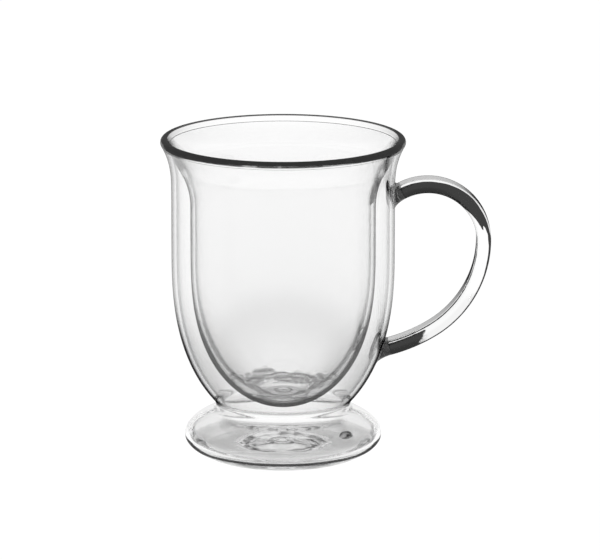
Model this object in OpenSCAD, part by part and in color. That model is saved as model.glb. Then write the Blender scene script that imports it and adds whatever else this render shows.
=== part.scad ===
// Double walled glass mug on a hollow foot, with a flat strap handle.
// The axis of the mug is Z, the table is at zero height and the handle points along +X.
// Every piece is glass. They meet face to face, as they do where the flame joins them.

/* [Overall] */
// Height from the table to the top of the rim
mug_h = 120; // [114:1:128]
// Diameter over the rim
rim_d = 91; // [87:0.5:96]

/* [Rim] */
// Thickness of the fire polished bead that closes the rim
bead_d = 3.2; // [2.8:0.1:3.8]
// Height of the lip in which the two walls are melted together
lip_h = 10.6; // [10:0.2:12]
// Lean of the outer wall where it runs into the bead, degrees from upright
outer_lean = 30; // [24:1:36]
// Lean of the lip's inner face where it runs into the bead, degrees from upright
inner_lean = 30; // [27:1:33]
// Height of the narrow crevice between the lip's two walls, as a share of the lip's outer face
crevice_share = 0.875; // [0.8:0.005:0.9]
// Width of that crevice at its upper end
crevice_w = 0.16; // [0.1:0.02:0.3]
// Suddenness with which the crevice narrows, as the power of its curve
crevice_power = 2; // [1.6:0.1:2.4]

/* [Outer body] */
// Width by which the rim overhangs the straight part of the body, on each side
rim_overhang = 4; // [3.4:0.1:4.6]
// Thickness of the outer wall
body_wall = 1.8; // [1.5:0.1:2.1]
// Height at which the belly becomes straight, as a share of the way from the waist to the lip
belly_share = 0.622; // [0.58:0.002:0.66]
// Depth below the outer body's end at which the belly's curve would close on the axis
belly_root_drop = 12.4; // [11.4:0.2:14]
// Fullness of the belly, as the power of its curve
belly_power = 2.5; // [2.3:0.05:2.8]
// Height over which the outer wall opens towards the bead
body_flare_h = 17.6; // [15:0.2:22]

/* [Inner bowl] */
// Clear space between the two walls where they are straight
wall_gap = 5.3; // [4.4:0.1:6.2]
// Thickness of the bowl's wall
bowl_wall = 1.6; // [1.3:0.1:2]
// Depth of the bowl's underside below the outer body's end
bowl_drop = 3; // [0.5:0.5:4.5]
// Fullness of the bowl's lower curve, as the power of that curve
bowl_power = 2.6; // [2.3:0.05:2.9]
// Thickness of the bowl's floor round its button
bowl_floor = 3.2; // [2.4:0.1:4]
// Length of each half of the bend in which the bowl's wall turns outwards to the lip
bowl_bend_l = 8; // [6:0.5:9]
// Diameter of the button in the middle of the floor
button_d = 13; // [10:0.5:16]
// Height of that button
button_h = 1.2; // [0.8:0.1:1.8]

/* [Waist] */
// Height of the waist, from the foot up to the outer body
waist_h = 5.25; // [4.75:0.25:7]
// Thickness of the glass at the narrowest ring
waist_wall = 2.6; // [2.2:0.1:3.2]

/* [Foot] */
// Width by which the straight part of the body overhangs the foot, on each side
foot_inset = 4.75; // [3:0.25:6]
// Width of the foot's shoulder, from the waist out to the foot's widest ring
foot_shoulder = 8.75; // [7.5:0.25:9.75]
// Height of the foot's widest ring above the table
foot_widest_h = 7.2; // [6.4:0.2:8]
// Height of the foot's dome above that ring
foot_dome_h = 13.2; // [12.4:0.2:14]
// Thickness of the foot's wall
foot_wall = 2; // [1.6:0.1:2.4]

/* [Base plate] */
// Width by which the foot overhangs the ring that stands on the table
foot_tuck = 8.25; // [7.5:0.25:9]
// Thickness of the plate
base_t = 4.2; // [3.6:0.1:4.8]
// Width of the flat land round the hollow in the middle of the plate
land_w = 13.5; // [11:0.5:16]
// Rise of that hollow
kick_h = 2.6; // [1.6:0.2:3]
// Rise of the plate's upper face over the hollow
kick_top_h = 1.4; // [0.8:0.2:2]

/* [Vent] */
// Diameter of the vent that is sealed last
vent_d = 3.2; // [2.4:0.1:3.6]
// Distance of the vent in from the ring that stands on the table
vent_inset = 3.5; // [3:0.25:6]
// Turn of the vent about the axis, from the handle towards the back
vent_turn = 20; // [0:5:60]
// Diameter of the bead of glass that closes the vent
vent_cap_d = 5.2; // [4.6:0.1:5.6]
// Height of that bead above the plate
vent_cap_h = 1.7; // [1.2:0.1:2.4]
// Distance of the seal's underside above the table
vent_recess = 0.5; // [0.3:0.1:0.9]

/* [Handle] */
// Reach of the handle beyond the body, as a share of the way from the waist to the lip
handle_reach_share = 0.404; // [0.37:0.002:0.43]
// Width of the strap, across the mug's side
handle_w = 11; // [9:0.5:13]
// Thickness of the strap
handle_t = 5.4; // [4.6:0.1:6.2]
// Rounding of the strap's edges, as a share of its thickness
handle_round_share = 0.463; // [0.42:0.005:0.48]
// Depth of the handle's outermost point below the lip, as a share of its reach
handle_drop_share = 0.781; // [0.74:0.01:0.85]
// Radius of the crown, on the strap's middle line, as a share of the reach
crown_share = 0.582; // [0.54:0.01:0.63]
// Radius of the back, on the strap's middle line, as a share of the reach
back_share = 1.12; // [1:0.02:1.24]
// Turn of the back, in degrees
back_turn = 58; // [54:1:62]
// Radius of the tail that runs into the belly, on the strap's middle line, as a share of the reach
tail_share = 1.68; // [1.46:0.02:1.96]
// Length of each weld, from the wall to the strap's end
weld_l = 2.6; // [2.2:0.1:3.4]
// Spread of each weld beyond the strap, on every side
weld_spread = 1.6; // [1:0.1:2.2]

/* [Hidden] */
$fn = 96;

// Numbers of straight steps along each kind of curve
long_steps = 22;
flare_steps = 9;
short_steps = 8;
bead_steps = 16;
search_steps = 30;

// Extra turn of the handle's back, in degrees, cut off where the crown begins
back_overrun = 2;

// Radii of the turned pieces, each from the one outside it
body_r = rim_d / 2 - rim_overhang;
bowl_r = body_r - body_wall - wall_gap;
bowl_in_r = bowl_r - bowl_wall;
foot_r = body_r - foot_inset;
waist_foot_r = foot_r - foot_shoulder;
stand_r = foot_r - foot_tuck;
kick_r = stand_r - land_w;
vent_reach = stand_r - vent_inset;
bead_r = bead_d / 2;
button_r = button_d / 2;

// Turn of the foot's dome from its widest ring up to the waist
foot_top_turn = acos(waist_foot_r / foot_r);

// Heights of the turned pieces, from the foot up and from the rim down
waist_top = foot_widest_h + foot_dome_h * sin(foot_top_turn) + waist_h;
lip_base = mug_h - lip_h;
wall_h = lip_base - waist_top;
belly_top = waist_top + belly_share * wall_h;
belly_root = waist_top - belly_root_drop;
bowl_base = waist_top - bowl_drop;

// Centre of the bead, and where the lip's two faces touch its circle
bead_at = [rim_d / 2 - bead_r, mug_h - bead_r];
outer_touch = bead_at + bead_r * [cos(outer_lean), -sin(outer_lean)];
inner_touch = bead_at + bead_r * [-cos(inner_lean), sin(inner_lean)];

// The outer wall opens by a power curve that leans as it should at the bead
body_flare_out = outer_touch[0] - body_r;
body_flare_power = tan(outer_lean) * body_flare_h / body_flare_out;
body_flare_base = outer_touch[1] - body_flare_h;

// The bowl's wall bends where its straight part would cross the line of the lip's inner face
lip_in_lean = [sin(inner_lean), cos(inner_lean)];
bowl_bend_at = inner_touch - (inner_touch[0] - bowl_in_r) / lip_in_lean[0] * lip_in_lean;

// The crevice between the lip's walls ends a little under the bead
crevice_top = lip_base + crevice_share * (outer_touch[1] - lip_base);

// The belly and the bowl both become straight at the same height
belly_h = belly_top - belly_root;
bowl_curve_h = belly_top - bowl_base;

// The foot's lower half is drawn in so that it meets the table at the standing ring
foot_under_h = foot_widest_h / sqrt(1 - pow(stand_r / foot_r, 2));

// Outside radius of the body at a height
function belly_r(z) = body_r * sqrt(1 - pow((belly_top - z) / belly_h, belly_power));
function flared_r(z) = body_r + body_flare_out * pow((z - body_flare_base) / body_flare_h, body_flare_power);
function body_r_at(z) = z < belly_top ? belly_r(z) : z < body_flare_base ? body_r : flared_r(z);

// A path of points at even steps of a value, from one end to the other
function steps(from, to, n) = [for (i = [0 : n]) from + (to - from) * i / n];

// A path moved sideways to its left by a distance
function heading(path, i) =
    let (back = path[max(i - 1, 0)], on = path[min(i + 1, len(path) - 1)])
    (on - back) / norm(on - back);
function beside(path, d) = [
    for (i = [0 : len(path) - 1])
        let (way = heading(path, i))
        path[i] + d * [-way[1], way[0]]
];
function reversed(path) = [for (i = [len(path) - 1 : -1 : 0]) path[i]];
function last(path) = path[len(path) - 1];
function last_heading(path) = heading(path, len(path) - 1);

// A smooth bend from one point to another, pulled towards a third
function bend(from, pull, to, n) = [
    for (t = steps(0, 1, n)) (1 - t) * (1 - t) * from + 2 * t * (1 - t) * pull + t * t * to
];

// Points i to n of a path
function part_of(path, i, n) = [for (k = [i : n]) path[k]];

// Where two lines cross, each given by a point and a direction
function crossing(p, u, q, v) =
    let (along = ((q[0] - p[0]) * v[1] - (q[1] - p[1]) * v[0]) / (u[0] * v[1] - u[1] * v[0]))
    p + along * u;

// A rise of cosine shape that fades out at a radius
function swell(r, reach, h) = r < reach ? h * (1 + cos(180 * r / reach)) / 2 : 0;

// Outline of the outer wall, from the waist up to the lip
belly_out = [for (z = steps(waist_top, belly_top, long_steps)) [body_r_at(z), z]];
flare_out = [for (z = steps(body_flare_base, lip_base, flare_steps)) [body_r_at(z), z]];
body_out = concat(belly_out, flare_out);
crevice_face = [for (z = steps(lip_base, crevice_top, short_steps)) [body_r_at(z), z]];
wall_in = beside(concat(body_out, part_of(crevice_face, 1, short_steps)), body_wall);
body_in = part_of(wall_in, 0, len(body_out) - 1);

// Outline of the bowl, from the axis up to the lip
bowl_turns = steps(90, 0, long_steps);
bowl_low_out = [
    for (a = bowl_turns) [bowl_r * cos(a), belly_top - bowl_curve_h * pow(sin(a), 2 / bowl_power)]
];
bowl_low_in = [
    for (a = bowl_turns)
        let (r = bowl_in_r * cos(a))
        let (depth = (bowl_curve_h - bowl_floor) * pow(sin(a), 2 / bowl_power))
        [r, belly_top - depth + swell(r, button_r, button_h)]
];
bowl_bend_from = bowl_bend_at - [0, bowl_bend_l];
bowl_bend_to = bowl_bend_at + bowl_bend_l * lip_in_lean;
bowl_high_in = bend(bowl_bend_from, bowl_bend_at, bowl_bend_to, flare_steps);
bowl_high_out = beside(bowl_high_in, -bowl_wall);
bowl_out = concat(bowl_low_out, bowl_high_out);
bowl_in = concat(bowl_low_in, bowl_high_in);

// Outline of the lip: up the outer wall, over the bead, straight down to the bowl and round the crevice
lip_out = [for (z = steps(lip_base, outer_touch[1], short_steps)) [body_r_at(z), z]];
bead_turn = steps(-outer_lean, 180 - inner_lean, bead_steps);
bead_over = [for (a = bead_turn) bead_at + bead_r * [cos(a), sin(a)]];
crevice_out = part_of(wall_in, len(body_out) - 1, len(wall_in) - 1);
crevice_gap = last(bowl_out) - last(body_in);
crevice_end = crevice_w / norm(crevice_gap);
function narrowing(t) = crevice_end + (1 - crevice_end) * pow(1 - t, crevice_power);
crevice_in = [for (i = [1 : short_steps]) crevice_out[i] + narrowing(i / short_steps) * crevice_gap];

// Outline of the foot, from the base plate up to the waist
foot_under_turn = asin((foot_widest_h - base_t) / foot_under_h);
foot_under = [
    for (a = steps(foot_under_turn, 0, short_steps)) [foot_r * cos(a), foot_widest_h - foot_under_h * sin(a)]
];
foot_dome = [
    for (a = steps(0, foot_top_turn, long_steps)) [foot_r * cos(a), foot_widest_h + foot_dome_h * sin(a)]
];
foot_out = concat(foot_under, part_of(foot_dome, 1, long_steps));
foot_in = beside(foot_out, foot_wall);

// Outline of the waist, a smooth bend outside and a thick ring inside
waist_pull = crossing(body_out[0], heading(body_out, 0), last(foot_out), last_heading(foot_out));
waist_out = bend(body_out[0], waist_pull, last(foot_out), short_steps);
waist_mid = (body_out[0] + 2 * waist_pull + last(foot_out)) / 4;
waist_in_mid = waist_mid - [waist_wall, 0];
waist_in_pull = 2 * waist_in_mid - (body_in[0] + last(foot_in)) / 2;
waist_in = bend(last(foot_in), waist_in_pull, body_in[0], short_steps);

// Outline of the base plate, whose turned up edge meets the foot's wall
edge_turns = steps(asin(foot_widest_h / foot_under_h), foot_under_turn, short_steps);
plate_edge = [for (a = edge_turns) [foot_r * cos(a), foot_widest_h - foot_under_h * sin(a)]];
plate_corner = [foot_in[0][0], base_t];
plate_flat_r = stand_r - (foot_out[0][0] - foot_in[0][0]) / 2;
plate_fillet = bend(foot_in[0], plate_corner, [plate_flat_r, base_t], short_steps);
plate_top = [for (r = steps(kick_r, 0, long_steps / 2)) [r, base_t + swell(r, kick_r, kick_top_h)]];
plate_bottom = [for (r = steps(0, kick_r, long_steps / 2)) [r, swell(r, kick_r, kick_h)]];

// The handle keeps its shape as it grows with the body
handle_round = handle_round_share * handle_t;
handle_out = handle_reach_share * wall_h;
handle_reach = body_r + handle_out;
handle_widest_h = lip_base - handle_drop_share * handle_out;
crown_r = crown_share * handle_out;
back_r = back_share * handle_out;
tail_r = tail_share * handle_out;

// Where its three arcs turn, in the plane of the handle
crown_at = [handle_reach - handle_t / 2 - crown_r, handle_widest_h];
back_at = crown_at + [crown_r - back_r, 0];
tail_at = back_at + (back_r - tail_r) * [cos(-back_turn), sin(-back_turn)];

// Turn of an arc at which its middle line is one weld's length from the wall
function clear_of_wall(at, r, a) =
    let (p = at + r * [cos(a), sin(a)]) p[0] - body_r_at(p[1]) - weld_l;
function meeting(at, r, far, near, n) =
    let (mid = (far + near) / 2)
    n == 0 ? mid
        : clear_of_wall(at, r, mid) > 0 ? meeting(at, r, mid, near, n - 1)
        : meeting(at, r, far, mid, n - 1);
crown_end = meeting(crown_at, crown_r, 90, 170, search_steps);
tail_end = meeting(tail_at, tail_r, -back_turn, -90, search_steps);

module turned(outline) {
    rotate_extrude()
        polygon(outline);
}

// The space inside the body's outer face, down to the axis
module body_envelope() {
    turned(concat([[0, waist_top]], body_out, [[0, lip_base]]));
}

// A rectangle with rounded corners
module rounded(size, r) {
    inner = size - 2 * [r, r];
    square([size[0], inner[1]], center = true);
    square([inner[0], size[1]], center = true);
    for (side = [-1, 1]) {
        for (end = [-1, 1]) {
            translate([side * inner[0] / 2, end * inner[1] / 2])
                circle(r = r);
        }
    }
}

// One arc of the strap, in the plane of the handle. It starts on the circle of radius from_r round
// a point, at a turn, and bends with radius r, so it carries on smoothly from an arc of that circle.
module strap_arc(at, turn, from_r, r, sweep) {
    translate([at[0], 0, at[1]])
        rotate([90, 0, 0])
            rotate([0, 0, turn])
                translate([from_r - r, 0, 0])
                    rotate_extrude(angle = sweep)
                        translate([r, 0])
                            rounded([handle_t, handle_w], handle_round);
}

// A flat shape that widens towards the wall, from the strap's size by a quarter circle
module flare_outline(size) {
    length = weld_l + handle_t;
    full = size + 2 * weld_spread;
    difference() {
        translate([-length, -full / 2])
            square([length, full]);
        for (side = [-1, 1]) {
            translate([0, side * full / 2])
                circle(r = weld_spread);
        }
    }
}

// A weld at the end of an arc, turned to face into the wall
module weld(at, r, turn, facing) {
    end = at + r * [cos(turn), sin(turn)];
    full_t = handle_t + 2 * weld_spread;
    full_w = handle_w + 2 * weld_spread;
    difference() {
        translate([end[0], 0, end[1]])
            rotate([0, -facing, 0])
                intersection() {
                    rotate([90, 0, 0])
                        linear_extrude(height = full_w, center = true)
                            flare_outline(handle_t);
                    linear_extrude(height = full_t, center = true)
                        flare_outline(handle_w);
                    rotate([0, -90, 0])
                        linear_extrude(height = weld_l + handle_t)
                            rounded([full_t, full_w], handle_round + weld_spread);
                }
        body_envelope();
    }
}

module outer_body() {
    color([0.84, 0.87, 0.88, 0.35])
        turned(concat(body_out, reversed(body_in)));
}

module inner_bowl() {
    color([0.90, 0.92, 0.93, 0.35])
        turned(concat(bowl_out, reversed(bowl_in)));
}

module rim_lip() {
    color([0.42, 0.44, 0.45, 0.6])
        turned(concat(
            lip_out,
            part_of(bead_over, 1, bead_steps),
            [last(bowl_in), last(bowl_out)],
            crevice_in,
            reversed(crevice_out)
        ));
}

module waist_seam() {
    color([0.78, 0.80, 0.81, 0.5])
        turned(concat(waist_out, waist_in));
}

module foot() {
    color([0.82, 0.84, 0.85, 0.35])
        turned(concat(foot_out, reversed(foot_in)));
}

module base_plate() {
    color([0.76, 0.78, 0.79, 0.45])
        difference() {
            turned(concat(plate_bottom, plate_edge, plate_fillet, plate_top));
            rotate([0, 0, vent_turn])
                translate([vent_reach, 0, -base_t])
                    cylinder(d = vent_d, h = 3 * base_t);
        }
}

module vent_seal() {
    cap_r = vent_cap_d / 2;
    ball_r = (cap_r * cap_r + vent_cap_h * vent_cap_h) / (2 * vent_cap_h);
    color([0.55, 0.57, 0.58, 0.6])
        rotate([0, 0, vent_turn])
            translate([vent_reach, 0, 0]) {
                translate([0, 0, vent_recess])
                    cylinder(d = vent_d, h = base_t - vent_recess);
                intersection() {
                    translate([0, 0, base_t + vent_cap_h - ball_r])
                        sphere(r = ball_r);
                    translate([0, 0, base_t])
                        cylinder(d = vent_cap_d, h = vent_cap_h);
                }
            }
}

module handle() {
    color([0.70, 0.72, 0.73, 0.5]) {
        strap_arc(crown_at, 0, crown_r, crown_r, crown_end);
        difference() {
            strap_arc(back_at, -back_turn, back_r, back_r, back_turn + back_overrun);
            translate([0, -handle_w, handle_widest_h])
                cube([handle_reach + handle_t, 2 * handle_w, handle_w]);
        }
        strap_arc(back_at, -back_turn, back_r, tail_r, tail_end + back_turn);
    }
}

module upper_weld() {
    color([0.48, 0.50, 0.51, 0.6])
        weld(crown_at, crown_r, crown_end, crown_end - 90);
}

module lower_weld() {
    color([0.48, 0.50, 0.51, 0.6])
        weld(tail_at, tail_r, tail_end, tail_end + 90);
}

outer_body();
inner_bowl();
rim_lip();
waist_seam();
foot();
base_plate();
vent_seal();
handle();
upper_weld();
lower_weld();
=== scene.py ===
"""Looks of a double walled glass mug on a hollow foot, with a strap handle.

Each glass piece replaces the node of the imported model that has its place. The pieces are fused to each other, so
the faces in which they meet let light through unbent, and the mug bends light as one body of glass does.
"""
import logging
import math
from collections.abc import Callable
from dataclasses import dataclass
from enum import Enum
from functools import cached_property

import bmesh
import bpy
from mathutils import Euler, Matrix, Vector


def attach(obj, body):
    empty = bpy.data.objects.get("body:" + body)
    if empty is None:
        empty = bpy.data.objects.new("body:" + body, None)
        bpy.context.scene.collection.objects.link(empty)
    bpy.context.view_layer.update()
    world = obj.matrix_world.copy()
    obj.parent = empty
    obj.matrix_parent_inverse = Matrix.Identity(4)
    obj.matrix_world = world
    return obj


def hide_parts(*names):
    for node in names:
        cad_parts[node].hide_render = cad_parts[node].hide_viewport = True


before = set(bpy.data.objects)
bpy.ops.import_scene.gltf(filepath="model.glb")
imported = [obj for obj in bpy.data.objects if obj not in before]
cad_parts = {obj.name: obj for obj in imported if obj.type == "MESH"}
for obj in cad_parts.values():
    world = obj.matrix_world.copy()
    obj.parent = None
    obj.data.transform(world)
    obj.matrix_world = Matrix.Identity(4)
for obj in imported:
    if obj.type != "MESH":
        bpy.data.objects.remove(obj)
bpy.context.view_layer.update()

MM = 0.001
PICTURE_WIDTH = 600

# Values that a mesh holds at its points: how far a place lies in a band of painted shade, and how freely light passes
# there.
BAND = "band"
FREE = "clear"

# What the glass of all the pieces has in common.
IOR = 1.47
# DARK is the grey of the gloss that painted shade mixes into the glass.
DARK = "323232"
CLEAR_TINT = "F8F8F8"
THIN_TINT = "F6F6F6"
SHADOW_TINT = "F2F2F2"
LINE_WIDTH = 0.12
THIN_FADE_MM = 2.0
THIN_FROM, THIN_TO = 0.35, 0.6
STREAK_FROM, STREAK_TO = 0.36, 0.5

# The strap's painted shade and its clear stretches, in degrees, along its middle line from 0 at its widest place up to
# the crown, and round its section from -90 at the inside over 0 at the middle of its side to 90 at the back. A row of
# pairs gives values at places, and each _AT says where round the section a line of painted shade lies.
SIDE_TOP = ((0, 84), (9, 62), (24, 57), (34, 56), (45, 64), (60, 58), (80, 50))
SIDE_START = (
    (-84, 47), (-60, 41), (-40, 33), (-20, 22), (-4, 13), (4, 12), (16, 18), (30, 10), (38, 3), (44, -14), (64, -30),
    (70, -40), (76, -68),
)
SIDE_SHARE = ((-66, 0.7), (-38, 0.9), (-30, 1.0))
INNER_LINE = ((-90, 1.0), (-40, 0.9), (0, 0.7), (12, 0.6), (20, 0.0))
BACK_LINE = ((-66, 1.0), (-16, 1.0), (-4, 0.0))
FREE_SHARE = ((-66, 0.0), (-61, 1.0), (-36, 1.0), (-28, 0.0))
INNER_AT, BACK_AT, FREE_FROM = (-74, -58), (47, 86), -12
TAIL_TOP, TAIL_LEAN, TAIL_INSIDE = -62, 0.06, -50

log = logging.getLogger("mug")

Node = bpy.types.Node
Mesh = bmesh.types.BMesh
Piece = bpy.types.Object
Outline = list[Vector]
Knots = tuple[tuple[float, float], ...]
Dent = Callable[[float, float], float]


class Face(Enum):
    """What a face of a piece is, which is also its material slot."""

    GLASS = 0
    FUSED = 1


def steps(start: float, end: float, count: int) -> list[float]:
    """Divides a stretch into even steps and returns the values, both ends among them."""
    return [start + (end - start) * i / count for i in range(count + 1)]


def turned_to(angle: float) -> Vector:
    """Returns the unit vector at an angle in degrees."""
    return Vector((math.cos(math.radians(angle)), math.sin(math.radians(angle))))


def heading(path: Outline, i: int) -> Vector:
    """Returns the direction of a path at its point i."""
    return (path[min(i + 1, len(path) - 1)] - path[max(i - 1, 0)]).normalized()


def beside(path: Outline, distance: float) -> Outline:
    """Returns the points of a path that is moved sideways to its left."""
    ways = [heading(path, i) for i in range(len(path))]
    return [point + distance * Vector((-way.y, way.x)) for point, way in zip(path, ways)]


def crossing(p: Vector, u: Vector, q: Vector, v: Vector) -> Vector:
    """Returns the point in which the line through p along u meets the line through q along v."""
    along = ((q.x - p.x) * v.y - (q.y - p.y) * v.x) / (u.x * v.y - u.y * v.x)
    return p + along * u


def bend(start: Vector, pull: Vector, end: Vector, count: int) -> Outline:
    """Returns the points of a smooth bend in so many steps, which is pulled towards a point."""
    return [(1 - t) ** 2 * start + 2 * t * (1 - t) * pull + t * t * end for t in steps(0, 1, count)]


def swell(r: float, reach: float, height: float) -> float:
    """Returns the height at r of a rise that fades out at a radius."""
    return height * (1 + math.cos(math.pi * r / reach)) / 2 if abs(r) < reach else 0.0


def waves(r: float, pitch: float, drift: float, depth: float = 1.0) -> float:
    """Returns waves with a crest of 1 at r = 0, moved by a drift in radians, that come down by twice a depth."""
    return 1 - depth + depth * math.cos(math.tau * r / pitch + drift)


def wander(turn: float, *lobes: tuple[float, float, float]) -> float:
    """Returns how far a ring drifts at a turn round the axis, from each lobe's size, count and start."""
    return sum(size * math.sin(count * turn + start) for size, count, start in lobes)


def ramp(value: float, knots: Knots) -> float:
    """Reads a line through knots, which is level beyond both ends.

    Args:
        value: A place along it.
        knots: Its places and heights, in order.

    Returns:
        The height there.
    """
    if value <= knots[0][0]:
        return knots[0][1]
    for (x0, y0), (x1, y1) in zip(knots, knots[1:]):
        if value < x1:
            return y0 + (y1 - y0) * (value - x0) / (x1 - x0)
    return knots[-1][1]


def within(value: float, low: float, high: float, fade: float) -> float:
    """Returns 1 where a value lies between two edges and 0 beyond them, with a fade over each edge."""
    return min(max(0.5 + min(value - low, high - value) / fade, 0.0), 1.0)


@dataclass(frozen=True)
class MugShape:
    """Sizes of the turned glass in millimetres, as in the part's source, and the outlines that they give.

    A point of an outline is a distance from the axis and a height.
    """

    mug_h: float = 120.0
    rim_d: float = 91.0
    bead_d: float = 3.2
    lip_h: float = 10.6
    outer_lean: float = 30.0
    inner_lean: float = 30.0
    rim_overhang: float = 4.0
    body_wall: float = 1.8
    belly_share: float = 0.622
    belly_root_drop: float = 12.4
    belly_power: float = 2.5
    body_flare_h: float = 17.6
    wall_gap: float = 5.3
    bowl_wall: float = 1.6
    bowl_drop: float = 3.0
    bowl_power: float = 2.6
    bowl_floor: float = 3.2
    bowl_bend_l: float = 8.0
    crevice_share: float = 0.875
    crevice_w: float = 0.16
    crevice_power: float = 2.0
    button_d: float = 13.0
    button_h: float = 1.2
    waist_h: float = 5.25
    waist_wall: float = 2.6
    foot_inset: float = 4.75
    foot_shoulder: float = 8.75
    foot_widest_h: float = 7.2
    foot_dome_h: float = 13.2
    foot_wall: float = 2.0
    foot_tuck: float = 8.25
    base_t: float = 4.2
    land_w: float = 13.5
    kick_h: float = 2.6
    kick_top_h: float = 1.4
    ripple_r: float = 12.5
    floor_shade_r: float = 12.6

    @cached_property
    def body_r(self) -> float:
        """Radius of the body's straight part."""
        return self.rim_d / 2 - self.rim_overhang

    @cached_property
    def bowl_r(self) -> float:
        """Outside radius of the bowl's straight part."""
        return self.body_r - self.body_wall - self.wall_gap

    @cached_property
    def bowl_in_r(self) -> float:
        """Inside radius of the bowl's straight part."""
        return self.bowl_r - self.bowl_wall

    @cached_property
    def foot_r(self) -> float:
        """Radius of the foot's widest ring."""
        return self.body_r - self.foot_inset

    @cached_property
    def stand_r(self) -> float:
        """Radius of the ring that stands on the table."""
        return self.foot_r - self.foot_tuck

    @cached_property
    def kick_r(self) -> float:
        """Radius of the hollow in the middle of the base plate."""
        return self.stand_r - self.land_w

    @cached_property
    def foot_top_turn(self) -> float:
        """Turn of the foot's dome up to the waist, in degrees."""
        return math.degrees(math.acos((self.foot_r - self.foot_shoulder) / self.foot_r))

    @cached_property
    def waist_top(self) -> float:
        """Height at which the body ends on the waist."""
        return self.foot_widest_h + self.foot_dome_h * turned_to(self.foot_top_turn).y + self.waist_h

    @cached_property
    def lip_base(self) -> float:
        """Height at which the two walls end on the lip."""
        return self.mug_h - self.lip_h

    @cached_property
    def wall_h(self) -> float:
        """Height from the waist to the lip."""
        return self.lip_base - self.waist_top

    @cached_property
    def belly_top(self) -> float:
        """Height at which the belly becomes straight."""
        return self.waist_top + self.belly_share * self.wall_h

    @cached_property
    def bead_at(self) -> Vector:
        """Centre of the bead on the rim."""
        return Vector(((self.rim_d - self.bead_d) / 2, self.mug_h - self.bead_d / 2))

    @cached_property
    def outer_touch(self) -> Vector:
        """Where the lip's outer face runs into the bead."""
        return self.bead_at + self.bead_d / 2 * turned_to(-self.outer_lean)

    @cached_property
    def inner_touch(self) -> Vector:
        """Where the lip's inner face runs into the bead."""
        return self.bead_at + self.bead_d / 2 * turned_to(180 - self.inner_lean)

    def body_r_at(self, z: float) -> float:
        """Finds the outside radius of the body.

        Args:
            z: A height.

        Returns:
            The radius there.
        """
        if z < self.belly_top:
            depth = (self.belly_top - z) / (self.belly_top - self.waist_top + self.belly_root_drop)
            return self.body_r * math.sqrt(1 - depth ** self.belly_power)
        flare_base = self.outer_touch.y - self.body_flare_h
        if z < flare_base:
            return self.body_r
        out = self.outer_touch.x - self.body_r
        power = math.tan(math.radians(self.outer_lean)) * self.body_flare_h / out
        return self.body_r + out * ((z - flare_base) / self.body_flare_h) ** power

    @cached_property
    def body_out(self) -> Outline:
        """Outer face of the body, from the waist up to the lip."""
        heights = steps(self.waist_top, self.belly_top, 56)
        flare_base = self.outer_touch.y - self.body_flare_h
        heights += steps(self.belly_top, flare_base, 8)[1:] + steps(flare_base, self.lip_base, 16)[1:]
        return [Vector((self.body_r_at(z), z)) for z in heights]

    @cached_property
    def body_in(self) -> Outline:
        """Inner face of the body, from the waist up to the lip."""
        return self.wall_in[:len(self.body_out)]

    @cached_property
    def lip_out(self) -> Outline:
        """Outer face of the lip, up to the bead."""
        return [Vector((self.body_r_at(z), z)) for z in steps(self.lip_base, self.outer_touch.y, 32)]

    @cached_property
    def wall_in(self) -> Outline:
        """Inner face of the outer wall, from the waist up through the lip."""
        return beside(self.body_out + self.lip_out[1:], self.body_wall)

    @cached_property
    def crevice_out(self) -> Outline:
        """Outer face of the crevice between the lip's two walls."""
        first = len(self.body_out) - 1
        return self.wall_in[first:first + 1 + round(self.crevice_share * (len(self.lip_out) - 1))]

    @cached_property
    def bowl_bend(self) -> Outline:
        """Bend in which the bowl's inner face turns outwards to the lip."""
        lean = turned_to(90 - self.inner_lean)
        pull = crossing(self.inner_touch, lean, Vector((self.bowl_in_r, self.belly_top)), Vector((0, 1)))
        return bend(pull - Vector((0, self.bowl_bend_l)), pull, pull + self.bowl_bend_l * lean, 40)

    @cached_property
    def bowl_in(self) -> Outline:
        """Face of the bowl that holds the drink, from the axis up to the lip."""
        base = self.waist_top - self.bowl_drop
        depth = self.belly_top - base - self.bowl_floor
        low = []
        for a in steps(90, 0, 144):
            way = turned_to(a)
            r = self.bowl_in_r * way.x
            z = self.belly_top - depth * max(way.y, 0.0) ** (2 / self.bowl_power)
            low.append(Vector((r, z + swell(r, self.button_d / 2, self.button_h))))
        return low + self.bowl_bend

    def bowl_in_z(self, r: float) -> float:
        """Returns the height of the bowl's plain floor at a radius."""
        base = self.waist_top - self.bowl_drop + self.bowl_floor
        return self.belly_top - (self.belly_top - base) * (1 - (r / self.bowl_in_r) ** 2) ** (1 / self.bowl_power)

    def ripple(self, r: float, turn: float) -> float:
        """Finds how far the flame's ripples lift the bowl's floor.

        Args:
            r: The distance from the axis.
            turn: The turn round the axis, in radians.

        Returns:
            The rise in millimetres.
        """
        drift = wander(turn, (0.9, 3, 1), (0.6, 5, 2.2), (0.4, 11, 0))
        past = r - self.ripple_r
        outer = swell(past, reach=4.5, height=0.5) * waves(past, pitch=4.2, drift=drift)
        return outer + swell(r, reach=8.0, height=0.24) * waves(r, pitch=2.6, drift=0)

    def floor_shade(self, r: float, turn: float) -> float:
        """Finds how much shade is painted on the bowl's floor, in a wavy ring and round its button.

        Args:
            r: The distance from the axis.
            turn: The turn round the axis, in radians.

        Returns:
            The share of painted shade.
        """
        drift = wander(turn, (1.1, 3, 1), (0.6, 7, 0), (0.3, 17, 0))
        ring = min(swell(r - self.floor_shade_r - drift, reach=5.5, height=1.2), 0.72)
        button = swell(r, reach=10, height=0.9) * waves(r, pitch=3.2, drift=wander(turn, (0.4, 2, 0)), depth=0.6)
        return max(ring * waves(r, pitch=2.3, drift=drift, depth=0.15), min(button, 0.6))

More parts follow.
